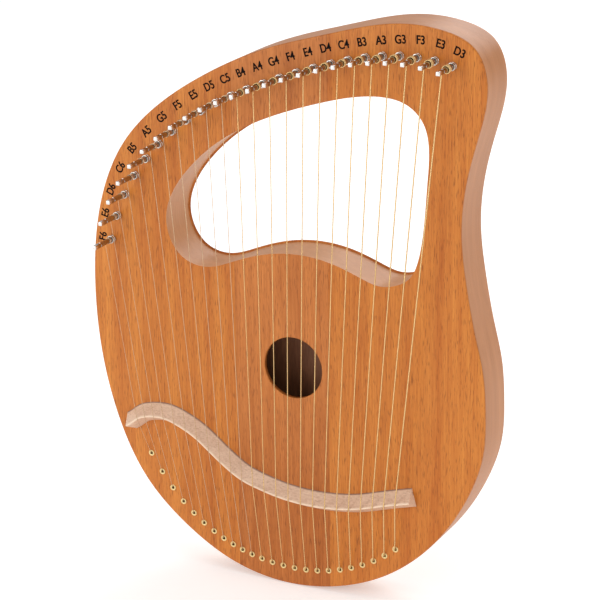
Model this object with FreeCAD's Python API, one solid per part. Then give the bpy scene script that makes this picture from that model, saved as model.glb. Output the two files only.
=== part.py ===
import FreeCAD, Part
import math
import os

# A hand-held lyre harp with 24 strings, standing upright, in millimetres.
# +X is to the right seen from the front, +Z is up along the grain, and the front faces -Y.
# The origin is the middle of the flat back face, which lies in the plane Y = 0.

# Body
BODY_WIDTH = 408.0
BODY_HEIGHT = 560.0
BODY_DEPTH = 48.0
FRONT_PLATE = 4.0
BACK_PLATE = 4.0
RIM_WALL = 12.0
CHAMBER_BAR = 14.0
EDGE_RADIUS = 1.8
SOUND_HOLE_RADIUS = 30.0

# Tuning pins and what holds them
NOTES = ("F6 E6 D6 C6 B5 A5 G5 F5 E5 D5 C5 B4 A4 G4 F4 E4 D4 C4 B3 A3 G3 F3 E3 D3").split()
PIN_RADIUS = 2.5
PIN_PROUD = 34.0
PIN_SUNK = 22.0
PIN_HEAD_LENGTH = 10.0
PIN_HEAD_FLATS = 3.9
PIN_TIP_FLATS = 3.4
PIN_CLEARANCE = 0.08
PIN_HOLE_SPARE = 2.0
BUSHING_WALL = 1.3
BUSHING_PROUD = 4.5
BUSHING_SUNK = 8.0
BLOCK_MARGIN = 7.5
BLOCK_FLOOR = 3.0

# Strings, from the thinnest to the thickest
PLAIN_STRINGS = 11
PLAIN_RADIUS = (0.22, 0.32)
WOUND_RADIUS = (0.38, 0.62)
TAKE_OFF_HEIGHTS = (9.5, 16.0)
LOW_TAKE_OFFS = 8
COIL_TURNS = (7, 5)
COIL_CLEARANCE = (0.10, 0.35)
EYE_CLEARANCE = 0.10
RIDGE_BEND_RADIUS = 4.0
MOUTH_BEND_RADIUS = 1.5
MOUTH_CLEARANCE = 0.10

# Bridge
BRIDGE_WIDTH = 18.5
BRIDGE_HEIGHT = 14.0
BRIDGE_RIDGE_SHIFT = 1.5
NOTCH_CLEARANCE = 0.10

# Where the strings are held at the bottom
EYELET_RADIUS = 3.1
EYELET_FLANGE = 0.6
EYELET_WALL = 0.6
EYELET_BORE = 1.3
EYELET_LENGTH = 7.0
STRING_CHANNEL_RADIUS = 1.3
FERRULE_RADIUS = 3.6
FERRULE_LENGTH = 8.0
FERRULE_FLOOR = 2.0
BALL_RADIUS = 2.1
BALL_LENGTH = 4.2
BALL_GROOVE_RADIUS = 1.05
BALL_CLEARANCE = 0.2
TAIL_BLOCK_MARGIN = 9.0

# Braces inside the sound chamber
BRACE_WIDTH = 9.0
BRACE_DEPTH = 11.0
BRACE_HOLE_GAP = 10.0
LOWER_BRACE_DROP = 92.0
BACK_BRACE_DROP = 75.0

# The outlines below are drawn at this width and height, and stretch with the body.
DRAWN_WIDTH = 408.0
DRAWN_HEIGHT = 560.0
BODY_OUTLINE = [
    (-4, -280), (60, -272), (104, -253), (135, -230), (166, -195), (189.5, -153.5),
    (202.5, -112), (204, -73), (201, -35), (193, 0), (184, 45), (178.5, 90),
    (181, 132), (191, 176), (200, 212), (200, 240), (189, 263), (160, 276.5),
    (110, 278.5), (50, 264.5), (-20, 243), (-79, 214.5), (-130, 180), (-167, 141),
    (-189, 97), (-201, 45), (-204, 0), (-200, -66), (-182, -140), (-150, -201),
    (-110, -239), (-60, -268),
]
HAND_OPENING = [
    (100, 213.5), (125, 209), (142, 194), (148.5, 170), (147.5, 140), (144, 95),
    (139, 65), (130, 45.5), (116, 36.5), (98, 33.5), (80, 38.5), (52, 48), (20, 52.5),
    (-15, 49), (-50, 37.5), (-82, 28), (-106, 34.5), (-119.5, 51), (-124, 74),
    (-117, 98), (-98, 125), (-66, 154), (-20, 180), (40, 202), (75, 211),
]
SOUND_HOLE_CENTRE = (10, -57.5)
BRIDGE_LINE = [
    (-167.1, -139.2), (-161, -135.1), (-154, -129.6), (-140, -125), (-124, -124.3), (-108, -129),
    (-90, -138), (-72, -151.5), (-56, -163.5), (-40, -173), (-22, -179), (0, -184),
    (40, -186.5), (80, -181.5), (108, -173.2), (134.5, -166),
]

# The two rows are curves through the places of a few strings, counted from 1, and the
# other strings are spaced along them smoothly.
PIN_ROW = {
    1: (-182, 44.5), 4: (-154, 111), 8: (-96.5, 170.5), 13: (-16, 213),
    18: (69, 242.5), 21: (119, 251), 24: (169, 246.5),
}
EYELET_ROW = {
    1: (-146, -170), 4: (-111.5, -215), 8: (-67.5, -246), 12: (-26, -259.5),
    16: (21.5, -262), 20: (69.5, -250.5), 24: (115.5, -222.5),
}

# Worked out from the sizes above
STRING_COUNT = len(NOTES)
FACE = -BODY_DEPTH
RIM_FRONT = FACE + FRONT_PLATE
RIM_BACK = -BACK_PLATE
BUSHING_RADIUS = PIN_RADIUS + PIN_CLEARANCE + BUSHING_WALL
PIN_HOLE_RADIUS = PIN_RADIUS + PIN_CLEARANCE
BLOCK_DEPTH = PIN_SUNK + PIN_HOLE_SPARE + BLOCK_FLOOR - FRONT_PLATE
EYELET_BARREL_RADIUS = EYELET_BORE + EYELET_WALL
BACKWARDS = FreeCAD.Vector(0, 1, 0)
FORWARDS = FreeCAD.Vector(0, -1, 0)
SIDEWAYS = FreeCAD.Vector(1, 0, 0)
RIBBON_STATIONS = 16
INNER_WALL_STATIONS = 72
BRIDGE_STATIONS = 24
FLATNESS = 0.01


def at(point, y=0.0):
    """A drawn point (x, z), stretched with the body, at the depth y."""
    x = point[0] * BODY_WIDTH / DRAWN_WIDTH
    z = point[1] * BODY_HEIGHT / DRAWN_HEIGHT
    return FreeCAD.Vector(x, y, z)


def shifted(point, y):
    """The same place at another depth."""
    return FreeCAD.Vector(point.x, y, point.z)


def closed_curve(points):
    """A smooth closed curve through the points."""
    curve = Part.BSplineCurve()
    curve.interpolate(Points=points, PeriodicFlag=True)
    return curve


def row_curve(row):
    """A smooth curve through a row's given strings, with the string's number as its parameter."""
    curve = Part.BSplineCurve()
    numbers = sorted(row)
    curve.interpolate(Points=[at(row[n]) for n in numbers], Parameters=[float(n) for n in numbers])
    return curve


def tangent_and_normal(curve, parameter):
    """Unit direction along a curve in the XZ plane, and the direction to its left seen from the front."""
    along = curve.tangent(parameter)[0]
    return along, FreeCAD.Vector(-along.z, 0, along.x)


def plate(curve, back, front):
    """A flat solid inside a closed curve, from the depth back to the depth front."""
    face = Part.Face(Part.Wire([curve.toShape()]))
    face.translate(FreeCAD.Vector(0, back, 0))
    return face.extrude(FreeCAD.Vector(0, front - back, 0))


def rod(centre, radius, back, front):
    """A round bar along the depth."""
    return Part.makeCylinder(radius, back - front, shifted(centre, back), FORWARDS)


def tube(centre, outer, inner, back, front):
    """A round bar along the depth with a hole through it."""
    return rod(centre, outer, back, front).cut(rod(centre, inner, back, front))


def inset_curve(curve, distance):
    """A closed curve at a constant distance inside a counter-clockwise one."""
    first = curve.FirstParameter
    step = (curve.LastParameter - first) / INNER_WALL_STATIONS
    points = []
    for i in range(INNER_WALL_STATIONS):
        parameter = first + i * step
        normal = tangent_and_normal(curve, parameter)[1]
        points.append(curve.value(parameter) + normal * distance)
    return closed_curve(points)


def ribbon(curve, right, left, overhang, back, front):
    """A flat solid along a row, reaching right and left of its line and past its ends."""
    first = curve.FirstParameter
    step = (curve.LastParameter - first) / RIBBON_STATIONS
    right_side = []
    left_side = []
    for i in range(RIBBON_STATIONS + 1):
        parameter = first + i * step
        along, normal = tangent_and_normal(curve, parameter)
        point = curve.value(parameter)
        if i == 0:
            point = point - along * overhang
        if i == RIBBON_STATIONS:
            point = point + along * overhang
        right_side.append(shifted(point - normal * right, back))
        left_side.append(shifted(point + normal * left, back))
    edges = []
    for side in (right_side, left_side):
        line = Part.BSplineCurve()
        line.interpolate(Points=side)
        edges.append(line.toShape())
    edges.append(Part.makeLine(right_side[0], left_side[0]))
    edges.append(Part.makeLine(right_side[-1], left_side[-1]))
    face = Part.Face(Part.Wire(Part.__sortEdges__(edges)))
    return face.extrude(FreeCAD.Vector(0, front - back, 0))


def edges_in_plane(solid, y):
    """The edges of a plate that lie at the depth y."""
    found = []
    for edge in solid.Edges:
        box = edge.BoundBox
        if abs(box.YMin - y) < FLATNESS and abs(box.YMax - y) < FLATNESS:
            found.append(edge)
    return found


body_curve = closed_curve([at(p) for p in BODY_OUTLINE])
opening_curve = closed_curve([at(p) for p in HAND_OPENING])
pin_row = row_curve(PIN_ROW)
eyelet_row = row_curve(EYELET_ROW)
bridge_line = Part.BSplineCurve()
bridge_line.interpolate(Points=[at(p) for p in BRIDGE_LINE])
pin_places = [pin_row.value(n) for n in range(1, STRING_COUNT + 1)]
eyelet_places = [eyelet_row.value(n) for n in range(1, STRING_COUNT + 1)]


def string_radius(index):
    """Plain steel strings and wound strings each grow evenly along the row."""
    if index < PLAIN_STRINGS:
        low, high = PLAIN_RADIUS
        return low + (high - low) * index / (PLAIN_STRINGS - 1)
    low, high = WOUND_RADIUS
    return low + (high - low) * (index - PLAIN_STRINGS) / (STRING_COUNT - 1 - PLAIN_STRINGS)


def plain_or_wound(pair, index):
    """The first of a pair of values for a plain string, and the second for a wound one."""
    return pair[0] if index < PLAIN_STRINGS else pair[1]


def take_off_depth(index):
    """Where a string leaves its coil: low on the first pins, then rising evenly."""
    low, high = TAKE_OFF_HEIGHTS
    return FACE - low - (high - low) * min(index / LOW_TAKE_OFFS, 1)


def coil_ends(index):
    """The depths at which a string's coil ends, towards the body and towards the pin's head."""
    outer_end = take_off_depth(index) - string_radius(index)
    inner_end = outer_end + 2 * string_radius(index) * plain_or_wound(COIL_TURNS, index)
    return inner_end, outer_end


def chamber(back, front):
    """The hollow inside the rim, closed at the top by a bar under the hand opening."""
    hollow = plate(inset_curve(body_curve, RIM_WALL), back, front)
    top = opening_curve.toShape().BoundBox.ZMin - CHAMBER_BAR
    corner = FreeCAD.Vector(-BODY_WIDTH, -BODY_DEPTH, top)
    above = Part.makeBox(2 * BODY_WIDTH, BODY_DEPTH, BODY_HEIGHT, corner)
    return hollow.cut(above)


def pin_block_blank():
    half_width = BUSHING_RADIUS + BLOCK_MARGIN
    return ribbon(pin_row, half_width, half_width, half_width, RIM_FRONT + BLOCK_DEPTH, RIM_FRONT)


def tail_block_blank():
    outwards = RIM_WALL + TAIL_BLOCK_MARGIN + FERRULE_RADIUS
    inwards = FERRULE_RADIUS + TAIL_BLOCK_MARGIN
    band = ribbon(eyelet_row, outwards, inwards, inwards, RIM_BACK, RIM_FRONT)
    return band.common(chamber(RIM_BACK, RIM_FRONT))


def make_body_rim():
    rim = plate(body_curve, RIM_BACK, RIM_FRONT)
    rim = rim.cut(plate(opening_curve, RIM_BACK, RIM_FRONT))
    rim = rim.cut(chamber(RIM_BACK, RIM_FRONT))
    return rim.cut(pin_block_blank())


def make_soundboard():
    board = plate(body_curve, RIM_FRONT, FACE).cut(plate(opening_curve, RIM_FRONT, FACE))
    board = board.makeFillet(EDGE_RADIUS, edges_in_plane(board, FACE))
    holes = [rod(at(SOUND_HOLE_CENTRE), SOUND_HOLE_RADIUS, RIM_FRONT, FACE)]
    holes += [rod(place, BUSHING_RADIUS, RIM_FRONT, FACE) for place in pin_places]
    holes += [rod(place, EYELET_BARREL_RADIUS, RIM_FRONT, FACE) for place in eyelet_places]
    return board.cut(Part.makeCompound(holes))


def make_back_plate():
    back = plate(body_curve, 0, RIM_BACK).cut(plate(opening_curve, 0, RIM_BACK))
    back = back.makeFillet(EDGE_RADIUS, edges_in_plane(back, 0))
    holes = [rod(place, FERRULE_RADIUS, 0, RIM_BACK) for place in eyelet_places]
    return back.cut(Part.makeCompound(holes))


def make_pin_block():
    counterbores = [rod(place, BUSHING_RADIUS, FACE + BUSHING_SUNK, RIM_FRONT) for place in pin_places]
    depth = FACE + PIN_SUNK + PIN_HOLE_SPARE
    bores = [rod(place, PIN_HOLE_RADIUS, depth, RIM_FRONT) for place in pin_places]
    return pin_block_blank().cut(Part.makeCompound(counterbores)).cut(Part.makeCompound(bores))


def make_tail_block():
    holes = [rod(place, STRING_CHANNEL_RADIUS, RIM_BACK, RIM_FRONT) for place in eyelet_places]
    holes += [rod(place, EYELET_BARREL_RADIUS, FACE + EYELET_LENGTH, RIM_FRONT) for place in eyelet_places]
    holes += [rod(place, FERRULE_RADIUS, RIM_BACK, -FERRULE_LENGTH) for place in eyelet_places]
    block = tail_block_blank()
    for hole in holes:
        block = block.cut(hole)
    return block


def bridge_section(parameter):
    """The triangle across the bridge: its upper foot, its lower foot and its ridge."""
    normal = tangent_and_normal(bridge_line, parameter)[1]
    centre = shifted(bridge_line.value(parameter), FACE)
    upper = centre + normal * (BRIDGE_WIDTH / 2)
    lower = centre - normal * (BRIDGE_WIDTH / 2)
    ridge = centre - normal * BRIDGE_RIDGE_SHIFT + FORWARDS * BRIDGE_HEIGHT
    return upper, lower, ridge


def bridge_parameters():
    first = bridge_line.FirstParameter
    step = (bridge_line.LastParameter - first) / BRIDGE_STATIONS
    return [first + i * step for i in range(BRIDGE_STATIONS + 1)]


def make_bridge_blank():
    wires = []
    for parameter in bridge_parameters():
        upper, lower, ridge = bridge_section(parameter)
        wires.append(Part.makePolygon([upper, ridge, lower, upper]))
    return Part.makeLoft(wires, True, False)


def ridge_curve():
    """The top line of the bridge, seen from the front, at the face's depth."""
    points = [shifted(bridge_section(parameter)[2], 0) for parameter in bridge_parameters()]
    curve = Part.BSplineCurve()
    curve.interpolate(Points=points)
    return curve


ridge_line = ridge_curve()


def string_route(index):
    """The string's corner points: ball end, eyelet's mouth, bridge, and where it meets its coil."""
    eyelet = eyelet_places[index]
    pin = pin_places[index]
    coil_line = PIN_RADIUS + plain_or_wound(COIL_CLEARANCE, index) + string_radius(index)
    way = shifted(pin - eyelet, 0)
    reach = math.sqrt(way.Length ** 2 - coil_line ** 2)
    turn = math.degrees(math.asin(coil_line / way.Length))
    heading = FreeCAD.Rotation(FORWARDS, turn).multVec(way.normalize())
    take_off = eyelet + heading * reach
    plan = Part.makeLine(eyelet, take_off)
    crossing = plan.distToShape(ridge_line.toShape())[1][0][0]
    ball_seat = shifted(eyelet, -FERRULE_LENGTH + FERRULE_FLOOR)
    mouth = shifted(eyelet, FACE - EYELET_FLANGE - string_radius(index) - MOUTH_CLEARANCE)
    over_bridge = shifted(crossing, FACE - BRIDGE_HEIGHT)
    return [ball_seat, mouth, over_bridge, shifted(take_off, take_off_depth(index))]


string_routes = [string_route(i) for i in range(STRING_COUNT)]


def wire_along(points, radius, bends):
    """A round wire along straight runs joined by tangent arcs of the given radii."""
    edges = []
    start = points[0]
    for corner, after, bend in zip(points[1:-1], points[2:], bends):
        before = (start - corner).normalize()
        onwards = (after - corner).normalize()
        half_angle = before.getAngle(onwards) / 2
        cut_back = bend / math.tan(half_angle)
        middle = (before + onwards).normalize() * (bend / math.sin(half_angle) - bend)
        arc_start = corner + before * cut_back
        arc_end = corner + onwards * cut_back
        edges.append(Part.makeLine(start, arc_start))
        edges.append(Part.Arc(arc_start, corner + middle, arc_end).toShape())
        start = arc_end
    edges.append(Part.makeLine(start, points[-1]))
    path = Part.Wire(edges)
    section = Part.Wire([Part.makeCircle(radius, points[0], points[1] - points[0])])
    return path.makePipeShell([section], True, False)


def make_string(index):
    """One string from its ball end to its coil; the coil is a plain sleeve that the pin turns in."""
    radius = string_radius(index)
    wire = wire_along(string_routes[index], radius, [MOUTH_BEND_RADIUS, RIDGE_BEND_RADIUS])
    inner = PIN_RADIUS + plain_or_wound(COIL_CLEARANCE, index)
    inner_end, outer_end = coil_ends(index)
    coil = tube(pin_places[index], inner + 2 * radius, inner, inner_end, outer_end)
    keep_out = rod(pin_places[index], inner, inner_end, outer_end)
    return wire.fuse(coil).cut(keep_out)


def make_bridge():
    """The bridge with a shallow notch over its ridge for each string."""
    bridge = make_bridge_blank()
    for index, route in enumerate(string_routes):
        mouth, over_bridge, take_off = route[1:]
        way = (take_off - over_bridge).normalize() - (mouth - over_bridge).normalize()
        way.normalize()
        start = over_bridge - way * BRIDGE_WIDTH
        notch_radius = string_radius(index) + NOTCH_CLEARANCE
        bridge = bridge.cut(Part.makeCylinder(notch_radius, 2 * BRIDGE_WIDTH, start, way))
    return bridge


def make_tuning_pin(index):
    """A round pin with a square head for the tuning key, and an eye for the string beside its coil."""
    place = pin_places[index]
    head_base = FACE - PIN_PROUD + PIN_HEAD_LENGTH
    shaft = rod(place, PIN_RADIUS, FACE + PIN_SUNK, head_base)
    squares = []
    for y, flats in ((head_base, PIN_HEAD_FLATS), (FACE - PIN_PROUD, PIN_TIP_FLATS)):
        half = flats / 2
        corners = [FreeCAD.Vector(place.x + sx * half, y, place.z + sz * half)
                   for sx, sz in ((-1, -1), (1, -1), (1, 1), (-1, 1), (-1, -1))]
        squares.append(Part.makePolygon(corners))
    head = Part.makeLoft(squares, True, True)
    head = head.common(rod(place, PIN_RADIUS, head_base, FACE - PIN_PROUD))
    eye_radius = string_radius(index) + EYE_CLEARANCE
    eye_depth = coil_ends(index)[0] + eye_radius
    eye_start = shifted(place, eye_depth) - SIDEWAYS * (2 * PIN_RADIUS)
    eye = Part.makeCylinder(eye_radius, 4 * PIN_RADIUS, eye_start, SIDEWAYS)
    return shaft.fuse(head).removeSplitter().cut(eye)


def make_pin_bushings():
    return [tube(place, BUSHING_RADIUS, PIN_HOLE_RADIUS, FACE + BUSHING_SUNK, FACE - BUSHING_PROUD)
            for place in pin_places]


def make_string_eyelets():
    eyelets = []
    for place in eyelet_places:
        flange = rod(place, EYELET_RADIUS, FACE, FACE - EYELET_FLANGE)
        barrel = rod(place, EYELET_BARREL_RADIUS, FACE + EYELET_LENGTH, FACE)
        bore = rod(place, EYELET_BORE, FACE + EYELET_LENGTH, FACE - EYELET_FLANGE)
        eyelets.append(flange.fuse(barrel).removeSplitter().cut(bore))
    return eyelets


def make_rear_ferrules():
    ferrules = []
    for place in eyelet_places:
        cup = rod(place, FERRULE_RADIUS, 0, -FERRULE_LENGTH)
        pocket = rod(place, BALL_RADIUS + BALL_CLEARANCE, 0, -FERRULE_LENGTH + FERRULE_FLOOR)
        channel = rod(place, STRING_CHANNEL_RADIUS, 0, -FERRULE_LENGTH)
        ferrules.append(cup.cut(pocket).cut(channel))
    return ferrules


def make_string_ball_ends():
    """Each ball end is a small grooved barrel that stands on its ferrule's floor."""
    balls = []
    floor = -FERRULE_LENGTH + FERRULE_FLOOR
    for place in eyelet_places:
        ball = rod(place, BALL_RADIUS, floor + BALL_LENGTH, floor)
        middle = shifted(place, floor + BALL_LENGTH / 2)
        groove = Part.makeTorus(BALL_RADIUS, BALL_GROOVE_RADIUS, middle, BACKWARDS)
        balls.append(ball.cut(groove))
    return balls


def brace(height, back, front):
    """A straight bar across the chamber at one height."""
    low = FreeCAD.Vector(-BODY_WIDTH, front, height - BRACE_WIDTH / 2)
    bar = Part.makeBox(2 * BODY_WIDTH, back - front, BRACE_WIDTH, low)
    return bar.common(chamber(RIM_BACK, RIM_FRONT)).cut(tail_block_blank())


def make_soundboard_braces():
    """Bars glued behind the soundboard: one over the sound hole, one under it, one under the bridge."""
    hole = at(SOUND_HOLE_CENTRE).z
    offset = SOUND_HOLE_RADIUS + BRACE_HOLE_GAP + BRACE_WIDTH / 2
    drop = at((0, LOWER_BRACE_DROP)).z
    heights = (hole + offset, hole - offset, hole - offset - drop)
    return [brace(height, RIM_FRONT + BRACE_DEPTH, RIM_FRONT) for height in heights]


def make_back_brace():
    hole_x, hole_z = SOUND_HOLE_CENTRE
    height = at((hole_x, hole_z - BACK_BRACE_DROP)).z
    return brace(height, RIM_BACK, RIM_BACK - BRACE_DEPTH)


def save(name, shape):
    if isinstance(shape, list):
        shape = Part.makeCompound(shape)
    shape.exportStep(os.path.join("parts", name + ".step"))
    print(name, len(shape.Solids), "valid" if shape.isValid() else "INVALID", round(shape.Volume, 1))


os.makedirs("parts", exist_ok=True)
save("body_rim", make_body_rim())
save("soundboard", make_soundboard())
save("back_plate", make_back_plate())
save("pin_block", make_pin_block())
save("tail_block", make_tail_block())
save("bridge", make_bridge())
save("pin_bushings", make_pin_bushings())
save("string_eyelets", make_string_eyelets())
save("rear_ferrules", make_rear_ferrules())
save("string_ball_ends", make_string_ball_ends())
save("soundboard_braces", make_soundboard_braces())
save("back_brace", make_back_brace())
for number, note in enumerate(NOTES):
    save("tuning_pin_" + note, make_tuning_pin(number))
    save("string_" + note, make_string(number))
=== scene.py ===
import math

import bmesh
import bpy
import numpy as np
from bpy.props import FloatProperty, FloatVectorProperty, IntProperty, PointerProperty
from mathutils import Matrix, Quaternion, Vector
from mathutils.geometry import tessellate_polygon


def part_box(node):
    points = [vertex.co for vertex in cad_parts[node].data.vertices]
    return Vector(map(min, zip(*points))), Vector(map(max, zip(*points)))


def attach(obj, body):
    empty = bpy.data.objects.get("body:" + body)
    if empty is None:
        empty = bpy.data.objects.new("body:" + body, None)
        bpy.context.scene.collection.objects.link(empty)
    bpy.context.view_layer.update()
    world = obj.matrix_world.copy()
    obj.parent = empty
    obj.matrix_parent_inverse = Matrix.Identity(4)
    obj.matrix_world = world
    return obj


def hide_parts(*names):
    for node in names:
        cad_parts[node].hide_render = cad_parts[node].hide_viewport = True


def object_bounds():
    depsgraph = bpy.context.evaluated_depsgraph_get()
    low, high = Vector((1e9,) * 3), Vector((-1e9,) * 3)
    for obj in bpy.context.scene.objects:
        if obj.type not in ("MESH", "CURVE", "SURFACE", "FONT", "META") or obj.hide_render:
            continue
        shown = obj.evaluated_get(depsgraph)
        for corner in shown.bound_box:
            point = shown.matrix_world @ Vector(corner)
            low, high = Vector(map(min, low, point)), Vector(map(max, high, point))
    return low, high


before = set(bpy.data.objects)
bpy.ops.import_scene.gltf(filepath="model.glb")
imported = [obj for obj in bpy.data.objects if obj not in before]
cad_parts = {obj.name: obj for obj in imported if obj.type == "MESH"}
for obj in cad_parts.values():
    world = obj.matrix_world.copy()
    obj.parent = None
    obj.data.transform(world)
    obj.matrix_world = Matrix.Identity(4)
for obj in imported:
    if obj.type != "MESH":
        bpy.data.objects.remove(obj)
cad_bounds = [list(corner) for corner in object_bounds()]

bl_info = {
    "name": "Lyre Harp",
    "version": (1, 0, 0),
    "blender": (4, 5, 0),
    "location": "View3D > Sidebar > Lyre Harp",
    "description": "Builds the visible pieces of a 24-string lyre harp around its frame",
    "category": "Add Mesh",
}

# ---------------------------------------------------------------- the harp's lines
# Flat points are (x, z) in millimetres, seen from the front, at the drawn size.
MM = 0.001
NOTES = "F6 E6 D6 C6 B5 A5 G5 F5 E5 D5 C5 B4 A4 G4 F4 E4 D4 C4 B3 A3 G3 F3 E3 D3".split()
BODY_OUTLINE = [
    (-4, -280), (60, -272), (104, -253), (135, -230), (166, -195), (189.5, -153.5),
    (202.5, -112), (204, -73), (201, -35), (193, 0), (184, 45), (178.5, 90),
    (181, 132), (191, 176), (200, 212), (200, 240), (189, 263), (160, 276.5),
    (110, 278.5), (50, 264.5), (-20, 243), (-79, 214.5), (-130, 180), (-167, 141),
    (-189, 97), (-201, 45), (-204, 0), (-200, -66), (-182, -140), (-150, -201),
    (-110, -239), (-60, -268),
]
HAND_OPENING = [
    (100, 213.5), (125, 209), (142, 194), (148.5, 170), (147.5, 140), (144, 95),
    (139, 65), (130, 45.5), (116, 36.5), (98, 33.5), (80, 38.5), (52, 48), (20, 52.5),
    (-15, 49), (-50, 37.5), (-82, 28), (-106, 34.5), (-119.5, 51), (-124, 74),
    (-117, 98), (-98, 125), (-66, 154), (-20, 180), (40, 202), (75, 211),
]
BRIDGE_LINE = [
    (-167.1, -139.2), (-161, -135.1), (-154, -129.6), (-140, -125), (-124, -124.3), (-108, -129),
    (-90, -138), (-72, -151.5), (-56, -163.5), (-40, -173), (-22, -179), (0, -184),
    (40, -186.5), (80, -181.5), (108, -173.2), (134.5, -166),
]
# Places of a few note names, by string number; the others lie on the curve through them.
NAME_ROW = {
    1: (-192.5, 46), 2: (-188.9, 70), 4: (-170.7, 116.5), 8: (-106.7, 183.6), 13: (-23.1, 227.9),
    18: (63.8, 256), 21: (118.8, 265.6), 23: (157.3, 265), 24: (175.2, 259.2),
}
SOUND_HOLE_CENTRE = (10, -57.5)


def corners(node):
    """A node's lowest and highest corner."""
    low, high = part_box(node)
    return np.array(low), np.array(high)


def node_points(node):
    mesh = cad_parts[node].data
    points = np.empty(len(mesh.vertices) * 3, np.float32)
    mesh.vertices.foreach_get("co", points)
    return points.reshape(-1, 3).astype(float)


# Depths from the frame: the front of the harp faces -Y.
FACE = corners("soundboard")[0][1]
RIM_FRONT = corners("soundboard")[1][1]
RIM_BACK = corners("back_plate")[0][1]
BACK = corners("back_plate")[1][1]
BRIDGE_TOP = corners("bridge")[0][1]
BLOCK_FLOOR = corners("pin_block")[1][1]
PIN_BOXES = [corners("tuning_pin_" + note) for note in NOTES]
PIN_PLACES = np.array([(low + high) / 2 for low, high in PIN_BOXES])[:, [0, 2]]
PIN_TIP = PIN_BOXES[0][0][1]
PIN_FOOT = PIN_BOXES[0][1][1]
PIN_RADIUS = (PIN_BOXES[0][1][0] - PIN_BOXES[0][0][0]) / 2
BUSHING_FRONT = corners("pin_bushings")[0][1]
BUSHING_BACK = corners("pin_bushings")[1][1]
BUSHING_RADIUS = PIN_PLACES[:, 0].min() - corners("pin_bushings")[0][0]
EYELET_FRONT = corners("string_eyelets")[0][1]
EYELET_BACK = corners("string_eyelets")[1][1]
FERRULE_FRONT = corners("rear_ferrules")[0][1]
BALL_BACK = corners("string_ball_ends")[1][1]


# A string's points within this many pin radii of its pin are its coil.
COIL_SEARCH = 2.5


class StringFacts:
    """What the frame says about one string: its radius, its eyelet, its pin and its coil."""

    def __init__(self, note, pin):
        points = node_points("string_" + note)
        inside = points[points[:, 1] > RIM_FRONT]
        low, high = inside.min(0), inside.max(0)
        self.note = note
        self.pin = pin
        self.foot = ((low + high) / 2)[[0, 2]]
        self.radius = (high[0] - low[0]) / 2
        self.seat = high[1]
        reach = np.hypot(points[:, 0] - pin[0], points[:, 2] - pin[1])
        is_near = reach < COIL_SEARCH * PIN_RADIUS
        near = points[is_near]
        self.coil_front, self.coil_back = near[:, 1].min(), near[:, 1].max()
        ends = np.abs(near[:, 1] - self.coil_back) < 0.01 * MM
        self.coil_radius = reach[is_near][ends].max() - self.radius


STRINGS = [StringFacts(note, pin) for note, pin in zip(NOTES, PIN_PLACES)]
EYELET_PLACES = np.array([string.foot for string in STRINGS])
EYELET_RADIUS = EYELET_PLACES[0, 0] - corners("string_eyelets")[0][0]
BARREL_SHARE = 0.613  # an eyelet's barrel beside its flange
FERRULE_RADIUS = EYELET_PLACES[0, 0] - corners("rear_ferrules")[0][0]
BALL_RADIUS = EYELET_PLACES[0, 0] - corners("string_ball_ends")[0][0]


# ---------------------------------------------------------------- curves
def spline(knots, points, places):
    """A cubic curve through points at their knots, read at the given places.

    Between two knots a point is the straight mix of both ends, plus each end's second
    derivative times (share cubed - share) times the step squared over six. The second
    derivatives solve the linear equations that make the slopes agree at every knot, and
    are nought at both ends.
    """
    step = np.diff(knots)
    slope = np.diff(points, axis=0) / step[:, None]
    inner = np.arange(1, len(points) - 1)
    system = np.eye(len(points))
    system[inner, inner - 1] = step[:-1]
    system[inner, inner] = 2 * (step[:-1] + step[1:])
    system[inner, inner + 1] = step[1:]
    right = np.zeros_like(points)
    right[inner] = 6 * np.diff(slope, axis=0)
    bend = np.linalg.solve(system, right)
    i = np.clip(np.searchsorted(knots, places, "right") - 1, 0, len(step) - 1)
    width = step[i][:, None]
    b = (places - knots[i])[:, None] / width
    a = 1 - b
    curved = (a ** 3 - a) * bend[i] + (b ** 3 - b) * bend[i + 1]
    return a * points[i] + b * points[i + 1] + curved * width ** 2 / 6


def travelled(points):
    """Distance run along a row of points, from its first one."""
    return np.r_[0, np.cumsum(np.linalg.norm(np.diff(points, axis=0), axis=1))]


def even_line(points, places):
    """The smooth open curve through the points, read at the given distances in metres."""
    points = np.array(points, float) * MM
    return spline(travelled(points), points, places)


def even_loop(points, count):
    """The smooth closed curve through the points, as count points at equal distances.

    The points go round three times and the middle turn is used, so the free ends of the
    curve have no say in it.
    """
    once = np.array(points, float) * MM
    turns = np.vstack([once, once, once, once[:1]])
    knots = travelled(turns)
    dense = np.linspace(knots[len(once)], knots[2 * len(once)], 12 * count + 1)
    run = travelled(spline(knots, turns, dense))
    even = np.interp(np.arange(count) * run[-1] / count, run, dense)
    return spline(knots, turns, even)


def left_of(loop):
    """Unit directions to the left of a closed flat curve, which is inwards if it turns left."""
    ahead = np.roll(loop, -1, axis=0) - np.roll(loop, 1, axis=0)
    ahead /= np.linalg.norm(ahead, axis=1)[:, None]
    return np.stack([-ahead[:, 1], ahead[:, 0]], -1)


def left_of_line(line):
    """Unit directions to the left of an open flat curve."""
    ahead = np.gradient(line, axis=0)
    ahead /= np.linalg.norm(ahead, axis=1)[:, None]
    return np.stack([-ahead[:, 1], ahead[:, 0]], -1)


def circle(centre, radius, count):
    angle = np.arange(count) * 2 * math.pi / count
    return np.asarray(centre) + radius * np.stack([np.cos(angle), np.sin(angle)], -1)


def stood(flat, depth):
    """Flat points (x, z) set at a depth, as (x, y, z)."""
    flat, depth = np.broadcast_arrays(flat, np.expand_dims(depth, -1))
    return np.stack([flat[..., 0], depth[..., 0], flat[..., 1]], -1)


# ---------------------------------------------------------------- meshes
MERGE_DISTANCE = 0.5e-6


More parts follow.
